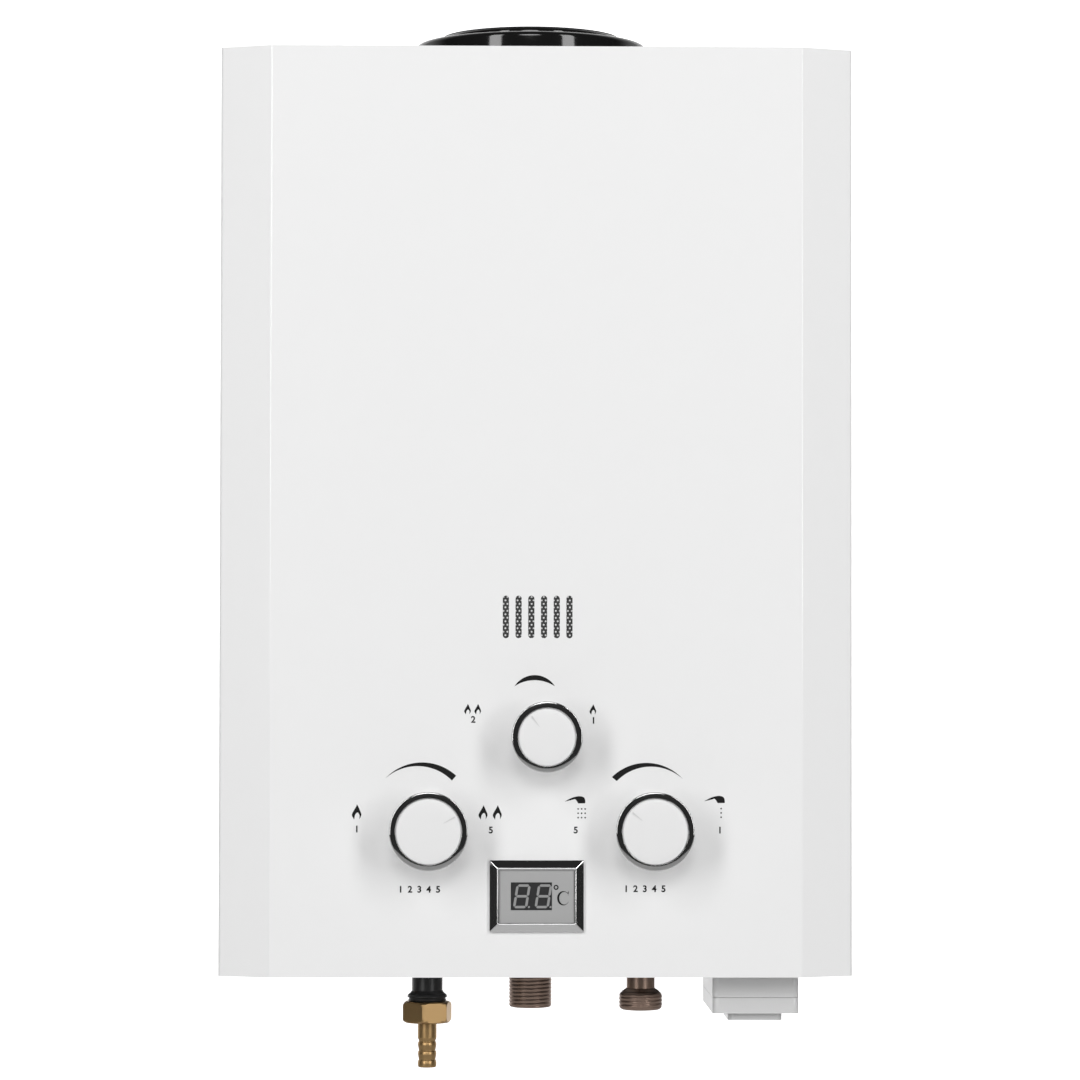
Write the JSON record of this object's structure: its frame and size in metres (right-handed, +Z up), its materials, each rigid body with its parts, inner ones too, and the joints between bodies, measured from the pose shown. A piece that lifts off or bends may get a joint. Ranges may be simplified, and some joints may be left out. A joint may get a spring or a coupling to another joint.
{
  "type": "gas water heater",
  "caption": "Wall-hung flued gas water heater: folded white casing with bevelled edges, ringed control knobs, display, flue collar, pipe ends and battery drawer below.",
  "frame": {"origin": "on the wall plane, at the middle of the casing's lower edge", "axes": "+X to the viewer's right, +Y into the wall, +Z up"},
  "size_m": [0.3, 0.1462, 0.499],
  "materials": {
    "white_enamel": "gloss",
    "zinc_plate": "satin",
    "black_enamel": "gloss",
    "aluminised_steel": "satin",
    "copper": "satin",
    "stainless": "satin",
    "die_cast": "satin",
    "brass": "satin",
    "bronze": "satin",
    "black_steel": "satin",
    "rubber": "matte",
    "red_silicone": "satin",
    "white_plastic": "gloss",
    "pale_plastic": "satin",
    "chrome": "polished",
    "grey_panel": "matte",
    "display_glass": "gloss",
    "circuit_board": "satin",
    "ceramic": "satin",
    "black_plastic": "matte",
    "cell_wrap": "satin",
    "spring_steel": "satin"
  },
  "bodies": {
    "root": {"front_cover": "white_enamel", "back_plate": "zinc_plate", "exchanger_brackets": "zinc_plate", "burner_frame": "zinc_plate", "fitting_plate": "zinc_plate", "flue_collar": "black_enamel", "draft_hood": "aluminised_steel", "fin_block": "copper", "chamber_shell": "copper", "return_bends": "copper", "coil_pipe": "copper", "hot_pipe": "copper", "burner_fingers": "stainless", "gas_manifold": "die_cast", "gas_valve_body": "die_cast", "gas_valve_cap": "die_cast", "gas_jets": "brass", "union_nut": "brass", "hose_barb": "brass", "pipe_nuts": "brass", "water_valve_body": "brass", "diaphragm_cover": "brass", "hot_outlet": "bronze", "cold_inlet": "bronze", "gas_inlet_stub": "black_steel", "diaphragm": "rubber", "ignition_lead": "red_silicone", "battery_box": "pale_plastic", "display_bezel": "chrome", "display_panel": "grey_panel", "display_digits": "display_glass", "display_board": "circuit_board", "electrodes": "ceramic", "ignition_module": "black_plastic", "safety_solenoid": "black_plastic", "microswitch": "black_plastic", "overheat_switch": "black_plastic", "battery_cells": "cell_wrap", "gas_valve_spring": "spring_steel", "window_mesh": "spring_steel", "hinge_pin": "spring_steel", "battery_contacts": "spring_steel"},
    "gas_knob_body": {"gas_knob": "white_plastic", "gas_knob_ring": "chrome", "gas_spindle": "spring_steel"},
    "water_knob_body": {"water_knob": "white_plastic", "water_knob_ring": "chrome", "water_spindle": "spring_steel"},
    "season_knob_body": {"season_knob": "white_plastic", "season_knob_ring": "chrome", "season_spindle": "spring_steel"},
    "battery_door_body": {"battery_door": "pale_plastic", "door_contact": "spring_steel"},
    "push_rod_body": {"push_rod": "spring_steel", "gas_valve_plug": "rubber"},
    "switch_lever_body": {"switch_lever": "spring_steel"}
  },
  "joints": [
    {"name": "gas_knob_turn", "type": "hinge", "parent": "root", "child": "gas_knob_body", "pos_m": [-0.0507, -0.125, 0.0694], "axis": [0, -1, 0], "range_deg": [-11, 135]},
    {"name": "water_knob_turn", "type": "hinge", "parent": "root", "child": "water_knob_body", "pos_m": [0.0552, -0.125, 0.0694], "axis": [0, -1, 0], "range_deg": [-116, 22]},
    {"name": "season_knob_turn", "type": "hinge", "parent": "root", "child": "season_knob_body", "pos_m": [0.0046, -0.125, 0.1135], "axis": [0, -1, 0], "range_deg": [-95, 33]},
    {"name": "battery_door_hinge", "type": "hinge", "parent": "root", "child": "battery_door_body", "pos_m": [0.10485, -0.0244, -0.0108], "axis": [1, 0, 0], "range_deg": [0, 100]},
    {"name": "push_rod_slide", "type": "slide", "parent": "root", "child": "push_rod_body", "axis": [-1, 0, 0], "range_m": [0, 0.004], "stiffness_N_per_m": 300, "springref_m": -0.01, "deforming": ["gas_valve_spring"]},
    {"name": "switch_lever_turn", "type": "hinge", "parent": "root", "child": "switch_lever_body", "pos_m": [-0.0075, -0.075, 0.082], "axis": [0, 1, 0], "range_deg": [0, 26]}
  ],
  "couplings": [
    {"joint": "switch_lever_turn", "follows": "push_rod_slide", "rad_per_m": 109}
  ]
}
